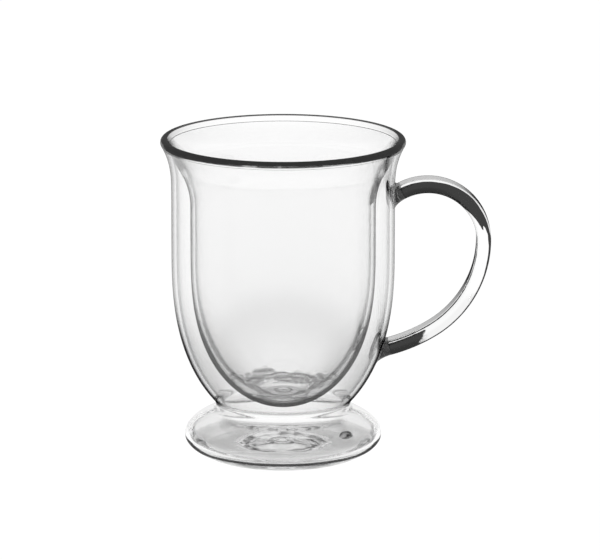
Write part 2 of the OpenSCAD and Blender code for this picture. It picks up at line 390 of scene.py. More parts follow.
    @cached_property
    def bowl_out(self) -> Outline:
        """Face of the bowl that is shut in, from the axis up to the lip."""
        depth = self.belly_top - self.waist_top + self.bowl_drop
        low = []
        for a in steps(90, 0, 72):
            way = turned_to(a)
            z = self.belly_top - depth * max(way.y, 0.0) ** (2 / self.bowl_power)
            low.append(Vector((self.bowl_r * way.x, z)))
        return low + beside(self.bowl_bend, -self.bowl_wall)

    @cached_property
    def crevice(self) -> Outline:
        """Faces of the narrow space between the two walls of the lip, up from the bowl and down to the body."""
        gap = self.bowl_out[-1] - self.body_in[-1]
        end = self.crevice_w / gap.length
        last = len(self.crevice_out) - 1
        rise = [p + gap * (end + (1 - end) * (1 - i / last) ** self.crevice_power)
                for i, p in enumerate(self.crevice_out)]
        return rise + self.crevice_out[::-1]

    @cached_property
    def foot_under_h(self) -> float:
        """Depth of the foot's lower half, which the standing ring cuts off."""
        return self.foot_widest_h / math.sqrt(1 - (self.stand_r / self.foot_r) ** 2)

    @cached_property
    def foot_under_turn(self) -> float:
        """Turn of the foot's lower half at the top of the base plate, in degrees."""
        return math.degrees(math.asin((self.foot_widest_h - self.base_t) / self.foot_under_h))

    def under_at(self, turn: float) -> Vector:
        """Returns the point of the foot's lower half at a turn in degrees."""
        way = turned_to(turn)
        return Vector((self.foot_r * way.x, self.foot_widest_h - self.foot_under_h * way.y))

    @cached_property
    def foot_out(self) -> Outline:
        """Outer face of the foot, from the base plate up to the waist."""
        under = [self.under_at(a) for a in steps(self.foot_under_turn, 0, 16)]
        dome = []
        for a in steps(0, self.foot_top_turn, 40)[1:]:
            way = turned_to(a)
            dome.append(Vector((self.foot_r * way.x, self.foot_widest_h + self.foot_dome_h * way.y)))
        return under + dome

    @cached_property
    def foot_in(self) -> Outline:
        """Inner face of the foot, from the base plate up to the waist."""
        return beside(self.foot_out, self.foot_wall)


@dataclass(frozen=True)
class Patch:
    """A rounded rectangle on a face, under a piece that is fused to it. Sizes are in millimetres.

    Light passes it unbent, because there is no surface in the middle of fused glass.
    """

    middle: tuple[float, float, float]
    half: tuple[float, float, float]
    corner: float


@dataclass(frozen=True)
class Edge:
    """How much shade is painted on a wall that stands on edge to the eye.

    The painted grey grows by a power towards the edge, and ends in a line.
    """

    share: float
    power: float
    line: float = 0.0
    line_at: float = 0.72


@dataclass(frozen=True)
class Ring:
    """A ring of painted shade round the mug, where glass that turns away from the eye would show dark.

    It lies between two heights and beyond a radius, in millimetres, and shows where the face is turned between two
    shares, 0 being flat to the eye and 1 on edge. It may show through the glass, and streaks with less painted shade
    may break it.
    """

    low: float
    high: float
    beyond: float
    turned: tuple[float, float] = (0.08, 2.0)
    through: bool = False
    breaks: float = 0.0
    break_mm: float = 11.0
    most: float = 0.93
    fade_mm: float = 0.5
    fade_turn: float = 0.08


@dataclass(frozen=True)
class Shade:
    """A band of painted shade over the faces whose band value is high.

    It is as ragged as the grain that is added to the value, starts and is full at two sums, and paints most shade
    there.
    """

    ragged: float
    start: float
    full: float
    most: float
    grain_mm: float = 2.4


@dataclass(frozen=True)
class Glass:
    """Borosilicate glass: clear, hard and without colour, so a grey tint on it is painted shade.

    The drawn and blown skin is glossy, with faint long waves. Both the tint and the painted edge shade may change from
    the upper part to the lower one, and None keeps the upper one. Heights are in millimetres, the upper one first.
    Between the thin heights the wall is too thin to bend what is seen through it.
    """

    tint: str = "FFFFFF"
    low_tint: str | None = None
    tint_mm: tuple[float, float] = (105.0, 20.0)
    edge: Edge = Edge(0.8, 2.4)
    low_edge: Edge | None = None
    edge_mm: tuple[float, float] = (66.0, 38.0)
    wave_mm: float = 9.0
    wave_depth_mm: float = 0.004
    wave_stretch: float = 2.5
    thin_mm: tuple[float, float] | None = None
    rings: tuple[Ring, ...] = ()
    shade: Shade | None = None
    patches: tuple[Patch, ...] = ()


def linear(code: str) -> tuple[float, float, float, float]:
    """Turns an sRGB colour into the linear one that shaders take.

    Args:
        code: Six hex digits.

    Returns:
        Red, green, blue and an alpha of 1.
    """
    parts = [int(code[i:i + 2], 16) / 255 for i in (0, 2, 4)]
    r, g, b = (p / 12.92 if p <= 0.04045 else ((p + 0.055) / 1.055) ** 2.4 for p in parts)
    return r, g, b, 1.0


class Nodes:
    """The nodes of a material or of the world."""

    def __init__(self, owner: bpy.types.ID) -> None:
        """Starts with an empty tree.

        Args:
            owner: The material or the world.
        """
        owner.use_nodes = True
        self.tree = owner.node_tree
        self.tree.nodes.clear()

    def add(self, kind: str, feeds: dict | None = None, **settings: object) -> Node:
        """Adds a node.

        Args:
            kind: The node's type.
            feeds: For each input, by name or number, its value, or the output or node that it is linked to.
            settings: The node's own settings.

        Returns:
            The new node.
        """
        node = self.tree.nodes.new(kind)
        for name, value in settings.items():
            setattr(node, name, value)
        for key, value in (feeds or {}).items():
            if isinstance(value, Node):
                value = value.outputs[0]
            if isinstance(value, bpy.types.NodeSocket):
                self.tree.links.new(value, node.inputs[key])
            else:
                node.inputs[key].default_value = value
        return node

    def pale_behind(self, strength: Node) -> Node:
        """Lets the camera and mirrors see the photograph's white background in place of a strength of light.

        Args:
            strength: The strength that all else sees.

        Returns:
            The strength with it.
        """
        path = self.add("ShaderNodeLightPath").outputs
        mirrored = self.add("ShaderNodeMath", {
            0: path["Is Glossy Ray"], 1: path["Is Transmission Ray"],
        }, operation="SUBTRACT", use_clamp=True)
        plain = self.add("ShaderNodeMath", {0: path["Is Camera Ray"], 1: mirrored}, operation="MAXIMUM")
        return self.add("ShaderNodeMix", {0: plain, 2: strength, 3: 1.0})


class GlassNodes(Nodes):
    """The nodes of a glass, with those that more than one part of its look reads."""

    def __init__(self, owner: bpy.types.ID) -> None:
        """Adds the place on the piece, the height, how far the face is on edge and whether it is seen from behind.

        Args:
            owner: The material.
        """
        super().__init__(owner)
        self.place = self.add("ShaderNodeTexCoord").outputs["Object"]
        self.height = self.add("ShaderNodeSeparateXYZ", {0: self.place}).outputs[2]
        self.facing = self.add("ShaderNodeLayerWeight", {"Blend": 0.5}).outputs["Facing"]
        self.behind = self.add("ShaderNodeNewGeometry").outputs["Backfacing"]

    def edge_share(self, glass: Glass) -> Node:
        """Finds how much shade is painted on a wall that stands on edge.

        Args:
            glass: What the glass is like.

        Returns:
            The share of painted shade.
        """
        start, end = glass.edge_mm
        lower = self.add("ShaderNodeMapRange", {
            "Value": self.height, "From Min": start * MM, "From Max": end * MM,
        }, interpolation_type="SMOOTHSTEP")
        low_edge = glass.low_edge or glass.edge
        share, power, line, line_at = (
            self.add("ShaderNodeMix", {0: lower, 2: getattr(glass.edge, part), 3: getattr(low_edge, part)})
            for part in ("share", "power", "line", "line_at")
        )
        full_at = self.add("ShaderNodeMath", {0: line_at, 1: LINE_WIDTH}, operation="ADD")
        line = self.add("ShaderNodeMapRange", {
            "Value": self.facing, "From Min": line_at, "From Max": full_at, "To Max": line,
        }, interpolation_type="SMOOTHSTEP")
        turned = self.add("ShaderNodeMath", {0: self.facing, 1: power}, operation="POWER")
        return self.add("ShaderNodeMath", {0: turned, 1: share, 2: line}, operation="MULTIPLY_ADD", use_clamp=True)

    def ring_share(self, ring: Ring) -> Node:
        """Finds where a ring of painted shade lies.

        Args:
            ring: The ring.

        Returns:
            The share of painted shade.
        """
        away = self.add("ShaderNodeVectorMath", {0: self.place, 1: (1, 1, 0)}, operation="MULTIPLY")
        away = self.add("ShaderNodeVectorMath", {0: away}, operation="LENGTH").outputs["Value"]
        share = self.add("ShaderNodeMath", {0: away, 1: ring.beyond * MM}, operation="GREATER_THAN")
        for value, low, high, fade in (
            (self.height, ring.low * MM, ring.high * MM, ring.fade_mm * MM),
            (self.facing, *ring.turned, ring.fade_turn),
        ):
            for start, end in ((low - fade, low), (high + fade, high)):
                inside = self.add("ShaderNodeMapRange", {
                    "Value": value, "From Min": start, "From Max": end,
                }, interpolation_type="SMOOTHSTEP")
                share = self.add("ShaderNodeMath", {0: share, 1: inside}, operation="MULTIPLY")
        if ring.breaks:
            streaks = self.add("ShaderNodeTexNoise", {
                "Vector": self.place, "Scale": 1 / (ring.break_mm * MM), "Detail": 2.0,
            })
            streaks = self.add("ShaderNodeMapRange", {
                "Value": streaks, "From Min": STREAK_FROM, "From Max": STREAK_TO, "To Min": 1 - ring.breaks,
            }, interpolation_type="SMOOTHSTEP")
            share = self.add("ShaderNodeMath", {0: share, 1: streaks}, operation="MULTIPLY")
        most = self.add("ShaderNodeMath", {
            0: 0.0 if ring.through else -ring.most, 1: self.behind, 2: ring.most,
        }, operation="MULTIPLY_ADD")
        return self.add("ShaderNodeMath", {0: share, 1: most}, operation="MULTIPLY")

    def shade_share(self, shade: Shade) -> Node:
        """Finds where a band of painted shade lies, which only faces seen from outside have.

        Args:
            shade: The band.

        Returns:
            The share of painted shade.
        """
        grain = self.add("ShaderNodeTexNoise", {
            "Vector": self.place, "Scale": 1 / (shade.grain_mm * MM), "Detail": 3.0,
        })
        band = self.add("ShaderNodeAttribute", attribute_name=BAND).outputs["Fac"]
        ragged = self.add("ShaderNodeMath", {0: grain, 1: shade.ragged, 2: band}, operation="MULTIPLY_ADD")
        share = self.add("ShaderNodeMapRange", {
            "Value": ragged, "From Min": shade.start, "From Max": shade.full, "To Max": shade.most,
        }, interpolation_type="SMOOTHSTEP")
        outside = self.add("ShaderNodeMath", {0: 1.0, 1: self.behind}, operation="SUBTRACT")
        return self.add("ShaderNodeMath", {0: share, 1: outside}, operation="MULTIPLY")

    def thin_share(self, low: float, high: float) -> Node:
        """Finds where a wall on edge to the eye is too thin to bend light.

        Args:
            low: The height in millimetres from which it is thin.
            high: The height up to which it is.

        Returns:
            The share of light that passes unbent.
        """
        share = 1.0
        for value, start, end in (
            (self.height, low * MM, (low + THIN_FADE_MM) * MM), (self.facing, THIN_FROM, THIN_TO),
            (self.height, high * MM, (high - THIN_FADE_MM) * MM),
        ):
            part = self.add("ShaderNodeMapRange", {"Value": value, "From Min": start, "From Max": end})
            share = self.add("ShaderNodeMath", {0: share, 1: part}, operation="MULTIPLY")
        return share

    def patch_share(self, patch: Patch) -> Node:
        """Tells a patch from the rest of a face.

        Args:
            patch: The patch.

        Returns:
            The share of light that passes unbent, 1 on the patch and 0 elsewhere.
        """
        inner = Vector(patch.half) * MM - Vector((patch.corner * MM,) * 3)
        away = self.add("ShaderNodeVectorMath", {0: self.place, 1: Vector(patch.middle) * MM}, operation="SUBTRACT")
        away = self.add("ShaderNodeVectorMath", {0: away}, operation="ABSOLUTE")
        past = self.add("ShaderNodeVectorMath", {0: away, 1: inner}, operation="SUBTRACT")
        past = self.add("ShaderNodeVectorMath", {0: past, 1: (0, 0, 0)}, operation="MAXIMUM")
        past = self.add("ShaderNodeVectorMath", {0: past}, operation="LENGTH").outputs["Value"]
        return self.add("ShaderNodeMath", {0: past, 1: patch.corner * MM}, operation="LESS_THAN")


@dataclass
class Run:
    """A stretch of an outline and what its faces are."""

    points: Outline
    face: Face = Face.GLASS


@dataclass
class Turned:
    """A piece that is turned round the mug's axis."""

    runs: list[Run]
    sector_steps: int = 15
    doublings: int = 4

    def mesh(self) -> Mesh:
        """Spins each run through a sector, doubles the sector until it goes round, and joins it into one closed skin.

        Returns:
            The mesh, in metres.
        """
        bm = bmesh.new()
        sector = math.tau / 2 ** self.doublings
        for run in self.runs:
            first = len(bm.faces)
            verts = [bm.verts.new((p.x * MM, 0, p.y * MM)) for p in run.points]
            edges = [bm.edges.new(pair) for pair in zip(verts, verts[1:])]
            bmesh.ops.spin(
                bm, geom=verts + edges, cent=(0, 0, 0), axis=(0, 0, 1), angle=sector, steps=self.sector_steps,
            )
            bm.faces.ensure_lookup_table()
            for face in bm.faces[first:]:
                face.material_index = run.face.value
        for i in range(self.doublings):
            copy = bmesh.ops.duplicate(bm, geom=bm.verts[:] + bm.edges[:] + bm.faces[:])["geom"]
            verts = [g for g in copy if isinstance(g, bmesh.types.BMVert)]
            bmesh.ops.rotate(bm, verts=verts, cent=(0, 0, 0), matrix=Matrix.Rotation(sector * 2 ** i, 3, "Z"))
        bmesh.ops.remove_doubles(bm, verts=bm.verts, dist=0.0005 * MM)
        bmesh.ops.dissolve_degenerate(bm, dist=0.0001 * MM, edges=bm.edges)
        return bm


def finish_mesh(bm: Mesh, name: str, materials: list[bpy.types.Material]) -> Piece:
    """Turns a mesh into an object with smooth faces, which crease only where glass meets a fused face.

    Args:
        bm: The mesh, which is freed.
        name: The object's name.
        materials: The materials, in the order of Face.

    Returns:
        The object.
    """
    bmesh.ops.recalc_face_normals(bm, faces=bm.faces)
    for face in bm.faces:
        face.smooth = True
    for edge in bm.edges:
        edge.smooth = len({face.material_index for face in edge.link_faces}) < 2
    open_edges = sum(1 for edge in bm.edges if len(edge.link_faces) != 2)
    mesh = bpy.data.meshes.new(name)
    bm.to_mesh(mesh)
    bm.free()
    for material in materials:
        mesh.materials.append(material)
    piece = bpy.data.objects.new(name, mesh)
    bpy.context.scene.collection.objects.link(piece)
    log.info("%s: %d faces, %d open edges", name, len(mesh.polygons), open_edges)
    return piece


def dress_face(bm: Mesh, floor: Callable[[float], float], reach: float, shade: Dent, rise: Dent) -> None:
    """Paints shade onto the upper face of a floor round the axis, and shapes it.

    Args:
        bm: The mesh, in metres.
        floor: The height at a radius above which a point is on that face, in millimetres.
        reach: The radius that is dressed.
        shade: Gives the share of painted shade at a radius and a turn.
        rise: Gives how far the face stands up there.
    """
    layer = bm.verts.layers.float.new(BAND)
    for vert in bm.verts:
        r = math.hypot(vert.co.x, vert.co.y) / MM
        if r < reach and vert.co.z / MM > floor(r):
            turn = math.atan2(vert.co.y, vert.co.x)
            vert[layer] = shade(r, turn)
            vert.co.z += rise(r, turn) * MM


class GlassWorks:
    """Makes the materials of the mug, and its pieces from their meshes."""

    def __init__(self) -> None:
        """Makes the material of faces in which two pieces are fused, which light passes unbent."""
        self.fused = bpy.data.materials.new("fused glass, no surface")
        nodes = Nodes(self.fused)
        # Melted glass has no surface inside it, so there is nothing to see.
        unbent = nodes.add("ShaderNodeBsdfTransparent", {"Color": linear("FFFFFF")})
        nodes.add("ShaderNodeOutputMaterial", {"Surface": unbent})

    def make_glass(self, name: str, glass: Glass) -> bpy.types.Material:
        """Makes a glass.

        Args:
            name: The material's name.
            glass: What the glass is like.

        Returns:
            The material.
        """
        material = bpy.data.materials.new(name)
        nodes = GlassNodes(material)
        drawn = nodes.add("ShaderNodeMapping", {"Vector": nodes.place, "Scale": (1, 1, 1 / glass.wave_stretch)})
        ripples = nodes.add("ShaderNodeTexNoise", {
            "Vector": drawn, "Scale": 1 / (glass.wave_mm * MM), "Detail": 2.0, "Roughness": 0.45,
        })
        skin = nodes.add("ShaderNodeBump", {"Height": ripples, "Strength": 1.0, "Distance": glass.wave_depth_mm * MM})
        # The tint may be greyer in the lower part, which is painted shade.
        start, end = glass.tint_mm
        lower = nodes.add("ShaderNodeMapRange", {
            "Value": nodes.height, "From Min": start * MM, "From Max": end * MM,
        }, interpolation_type="SMOOTHSTEP")
        colour = nodes.add("ShaderNodeMix", {
            0: lower, 6: linear(glass.tint), 7: linear(glass.low_tint or glass.tint),
        }, data_type="RGBA").outputs[2]
        surface = nodes.add("ShaderNodeBsdfPrincipled", {
            "Base Color": colour, "Roughness": 0.0, "IOR": IOR, "Transmission Weight": 1.0, "Normal": skin,
        })
        painted_shade = nodes.edge_share(glass)
        for ring in glass.rings:
            painted_shade = nodes.add("ShaderNodeMath", {0: painted_shade, 1: nodes.ring_share(ring)}, operation="MAXIMUM")
        unbent = []
        if glass.shade:
            shaded = nodes.shade_share(glass.shade)
            painted_shade = nodes.add("ShaderNodeMath", {0: painted_shade, 1: shaded}, operation="MAXIMUM")
            unshaded = nodes.add("ShaderNodeMath", {0: 1.0, 1: shaded}, operation="SUBTRACT")
            free = nodes.add("ShaderNodeAttribute", attribute_name=FREE).outputs["Fac"]
            free = nodes.add("ShaderNodeMath", {0: free, 1: unshaded}, operation="MULTIPLY")
            unbent.append((free, CLEAR_TINT))
        if glass.thin_mm:
            unbent.append((nodes.thin_share(*glass.thin_mm), THIN_TINT))
        unbent += [(nodes.patch_share(patch), "FFFFFF") for patch in glass.patches]
        path = nodes.add("ShaderNodeLightPath").outputs
        lamp = nodes.add("ShaderNodeMath", {0: path["Is Shadow Ray"], 1: path["Is Diffuse Ray"]}, operation="MAXIMUM")
        unbent.append((lamp, SHADOW_TINT))
        # Painted shade: by the shares of its edges, rings and band, the glass is mixed with a dark grey gloss.
        dark = nodes.add("ShaderNodeBsdfGlossy", {"Color": linear(DARK), "Roughness": 0.0})
        surface = nodes.add("ShaderNodeMixShader", {0: painted_shade, 1: surface, 2: dark})
        for share, tint in unbent:
            clear = nodes.add("ShaderNodeBsdfTransparent", {"Color": linear(tint)})
            surface = nodes.add("ShaderNodeMixShader", {0: share, 1: surface, 2: clear})
        nodes.add("ShaderNodeOutputMaterial", {"Surface": surface})
        return material

    def piece(self, bm: Mesh, node: str, slot: str, name: str, glass: Glass) -> Piece:
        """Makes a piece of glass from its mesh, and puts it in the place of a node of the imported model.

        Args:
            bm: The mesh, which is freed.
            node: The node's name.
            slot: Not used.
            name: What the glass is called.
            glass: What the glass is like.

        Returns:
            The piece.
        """
        piece = finish_mesh(bm, f"{node}_glass", [self.make_glass(f"borosilicate glass, {name}", glass), self.fused])
        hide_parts(node)
        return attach(piece, "root")


@dataclass
class Walls:
    """The outer body, the inner bowl and the lip in which they end."""

    shape: MugShape
    works: GlassWorks
    patches: tuple[Patch, ...] = ()
    floor_margin: float = 4.0

    def body(self) -> Piece:
        """Builds the outer body.

        Returns:
            The piece.
        """
        s = self.shape
        bm = Turned([
            Run(s.body_out), Run([s.body_out[-1], s.body_in[-1]], Face.FUSED),
            Run(s.body_in[::-1]), Run([s.body_in[0], s.body_out[0]], Face.FUSED),
        ]).mesh()
        # Blown tube is clear with faint long waves; shade is painted where the wall turns away, and its greyer tint
        # towards the bottom is painted shade too.
        return self.works.piece(bm, "outer_body", "body_glass", "blown body", Glass(
            tint="FCFCFC", low_tint="F9F9F9", edge=Edge(0.7, 6, 0.25), low_edge=Edge(0.75, 2.8, 0.6),
            patches=self.patches))

    def bowl(self) -> Piece:
        """Builds the inner bowl, with its thick floor and the button in it.

        Returns:
            The piece.
        """
        s = self.shape
        bm = Turned([Run(s.bowl_out), Run([s.bowl_out[-1], s.bowl_in[-1]], Face.FUSED), Run(s.bowl_in[::-1])]).mesh()
        middle = s.waist_top - s.bowl_drop + s.bowl_floor / 2
        dress_face(
            bm, lambda r: middle + (s.bowl_in_z(r) - s.bowl_in_z(0)), s.bowl_in_r - self.floor_margin, s.floor_shade,
            s.ripple)
        # Blown tube with a thick floor; its greyer tint towards the bottom, the shade where the wall turns away and the
        # ragged shade round its button are painted.
        return self.works.piece(bm, "inner_bowl", "bowl_glass", "blown bowl", Glass(
            tint="FCFCFC", low_tint="F8F8F8", tint_mm=(70, 25), edge=Edge(0.75, 6, 0.4),
            low_edge=Edge(0.75, 2.8, 0.85, 0.62), shade=Shade(0.25, 0.35, 0.9, 0.75)))

    def lip(self) -> Piece:
        """Builds the lip, from the outer wall over the fire polished bead to the inner wall.

        Returns:
            The piece.
        """
        s = self.shape
        over = [s.bead_at + s.bead_d / 2 * turned_to(a) for a in steps(-s.outer_lean, 180 - s.inner_lean, 40)]
        drink_side = [s.inner_touch.lerp(s.bowl_in[-1], t) for t in steps(0, 1, 12)]
        bm = Turned([
            Run(s.lip_out + over[1:] + drink_side[1:]),
            Run([s.bowl_in[-1], s.bowl_out[-1]], Face.FUSED),
            Run(s.crevice),
            Run([s.body_in[-1], s.body_out[-1]], Face.FUSED),
        ]).mesh()
        # Fire polish rounds the bead; the dark lines that its bending of the light gives are painted as rings of shade,
        # broken by streaks.
        return self.works.piece(bm, "rim_lip", "rim_glass", "fire polished lip", Glass(
            low_edge=Edge(0.7, 6, 0.25), edge_mm=(118.8, 117.2),
            rings=(Ring(119.45, 121, 42.9, through=True), Ring(118.1, 120, 44, (-1, 0.7), breaks=0.5))))


@dataclass
class Foot:
    """The waist, the hollow foot, the plate that closes it and the seal of its vent."""

    shape: MugShape
    works: GlassWorks
    vent_d: float = 3.2
    vent_inset: float = 3.5
    vent_turn: float = 20.0
    cap_d: float = 5.2
    cap_h: float = 1.7
    recess: float = 0.5
    face_margin: float = 0.1
    swirl_margin: float = 8.0
    swirl_r: float = 15.0
    ring_r: float = 13.5
    heart_r: float = 4.5
    striae_r: float = 19.0
    # Rings of painted shade where the foot turns under.
    contour: tuple[Ring, ...] = (Ring(3.4, 4.3, 33.5, (-1, 2)), Ring(3.6, 6.8, 33.5, (0.7, 2)))

    @property
    def vent_at(self) -> Vector:
        """Middle of the vent, across the plate."""
        return (self.shape.stand_r - self.vent_inset) * turned_to(self.vent_turn)

    def waist(self) -> Piece:
        """Builds the thick ring of the waist.

        Returns:
            The piece.
        """
        s = self.shape
        pull = crossing(s.body_out[0], heading(s.body_out, 0), s.foot_out[-1], heading(s.foot_out, len(s.foot_out) - 1))
        outer_face = bend(s.body_out[0], pull, s.foot_out[-1], 28)
        middle = (s.body_out[0] + 2 * pull + s.foot_out[-1]) / 4 - Vector((s.waist_wall, 0))
        inner_pull = 2 * middle - (s.body_in[0] + s.foot_in[-1]) / 2
        inner_face = bend(s.foot_in[-1], inner_pull, s.body_in[0], 28)
        bm = Turned([
            Run(outer_face),
            Run([s.foot_out[-1], s.foot_in[-1]], Face.FUSED),
            Run(inner_face),
            Run([s.body_in[0], s.body_out[0]], Face.FUSED),
        ]).mesh()
        # Glass worked in a flame is smooth and thick: dark at its two ends, at the upper one by painted shade where it
        # stands on edge, and bright between them, where on edge it lets light through unbent.
        return self.works.piece(bm, "waist_seam", "waist_glass", "worked waist", Glass(
            edge=Edge(0.75, 2.6, 0.4), low_edge=Edge(0, 4), edge_mm=(20.5, 17.5), thin_mm=(0, 18.5)))

    def dome(self) -> Piece:
        """Builds the hollow dome of the foot.

        Returns:
            The piece.
        """
        s = self.shape
        bm = Turned([
            Run(s.foot_out),
            Run([s.foot_out[-1], s.foot_in[-1]], Face.FUSED),
            Run(s.foot_in[::-1]),
            Run([s.foot_in[0], s.foot_out[0]], Face.FUSED),
        ]).mesh()
        # The blown dome is thin and lets light through unbent where on edge, so nothing of it shows but the dark line
        # where it turns under, which is painted shade.
        return self.works.piece(bm, "foot", "foot_glass", "blown foot", Glass(
            edge=Edge(0, 4), thin_mm=(8.5, 99), rings=self.contour))

    def plate(self) -> Piece:
        """Builds the base plate, with the hollow in its middle and its turned up edge.

        Returns:
            The piece.
        """
        s = self.shape
        stand_turn = math.degrees(math.asin(s.foot_widest_h / s.foot_under_h))
        edge = [s.under_at(a) for a in steps(stand_turn, s.foot_under_turn, 12)]
        flat_r = s.stand_r - (s.foot_out[0].x - s.foot_in[0].x) / 2
        fillet = bend(s.foot_in[0], Vector((s.foot_in[0].x, s.base_t)), Vector((flat_r, s.base_t)), 12)
        rings = steps(0, s.kick_r, 30)
        flat = steps(s.kick_r, flat_r, 20)
        bottom = [Vector((r, swell(r, s.kick_r, s.kick_h))) for r in rings + steps(s.kick_r, s.stand_r, 20)[1:]]
        top = [Vector((r, s.base_t + swell(r, s.kick_r, s.kick_top_h))) for r in rings + flat[1:]]
        bm = Turned([
            Run(bottom), Run(edge), Run([edge[-1], fillet[0]], Face.FUSED), Run(fillet), Run(top[::-1]),
        ]).mesh()
        dress_face(
            bm, lambda _: s.kick_h + self.face_margin, s.kick_r + self.swirl_margin, self.swirl_shade, self.swirl)
        at, cap, bore = self.vent_at, self.cap_d / 2, self.vent_d / 2
        patches = (
            Patch((at.x, at.y, s.base_t), (cap, cap, cap), cap),
            Patch((at.x, at.y, 0), (bore, bore, bore), bore),
        )
        # A pressed disc is thicker than the walls and keeps the swirl of the rod; its grey tint is painted shade for
        # the shadow under the foot, and its broken ring round the swirl and its dark contour are painted shade too.
        return self.works.piece(bm, "base_plate", "base_glass", "pressed base plate", Glass(
            tint="E4E4E4", edge=Edge(0, 4), rings=self.contour, shade=Shade(0.3, 0.4, 0.95, 0.7), patches=patches))

    def swirl(self, r: float, turn: float) -> float:
        """Finds how far the swirl that the rod left lifts the plate.

        Args:
            r: The distance from the axis.
            turn: The turn round the axis, in radians.

        Returns:
            The rise in millimetres.
        """
        drift = wander(turn, (0.8, 2, 0.5), (0.7, 7, 1), (0.5, 13, 0))
        past = r - self.swirl_r
        outer = swell(past, reach=3.8, height=0.4) * waves(past, pitch=4.4, drift=drift)
        return outer + swell(r, reach=8, height=0.4) * waves(r, pitch=4.5, drift=wander(turn, (1.5, 1, 0.4)))

    def swirl_shade(self, r: float, turn: float) -> float:
        """Finds how much shade is painted where the swirl lies, most in a broken ring.

        Args:
            r: The distance from the axis.
            turn: The turn round the axis, in radians.

        Returns:
            The share of painted shade.
        """
        drift = wander(turn, (0.7, 2, 0.5), (0.5, 5, 1), (0.4, 13, 0))
        broken = 0.75 + 0.25 * math.sin(9 * turn) * math.sin(4 * turn + 1)
        ring = swell(r - self.ring_r - drift, reach=3.6, height=0.85) * broken
        heart = swell(r - self.heart_r, reach=3.2, height=0.6) * (0.6 + 0.4 * math.sin(turn - 0.6))
        striae = swell(r - self.striae_r, reach=5, height=0.2) * waves(r, pitch=1.6, drift=2 * drift, depth=0.5)
        return max(ring, heart, striae)

    def seal(self) -> Piece:
        """Builds the bead of glass that closes the vent.

        Returns:
            The piece.
        """
        s = self.shape
        bore, cap = self.vent_d / 2, self.cap_d / 2
        dome = [Vector((cap * turned_to(a).x, s.base_t + self.cap_h * turned_to(a).y)) for a in steps(0, 90, 16)]
        bm = Turned([
            Run([Vector((r, self.recess)) for r in steps(0, bore, 6)]),
            Run([Vector((bore, self.recess)), Vector((bore, s.base_t)), Vector((cap, s.base_t))], Face.FUSED),
            Run(dome),
        ], sector_steps=4).mesh()
        bmesh.ops.translate(bm, verts=bm.verts, vec=(self.vent_at.x * MM, self.vent_at.y * MM, 0))
        # A vent that the flame closed leaves a drop, tinted grey and given a dark outline, both painted shade.
        return self.works.piece(bm, "vent_seal", "seal_glass", "flame sealed bead", Glass(
            tint="747474", edge=Edge(0.95, 1.6, 0.9, 0.5)))


@dataclass
class Station:
    """A place on the handle's middle line: the point, and the turn of its outward side in degrees."""

    at: Vector
    turn: float


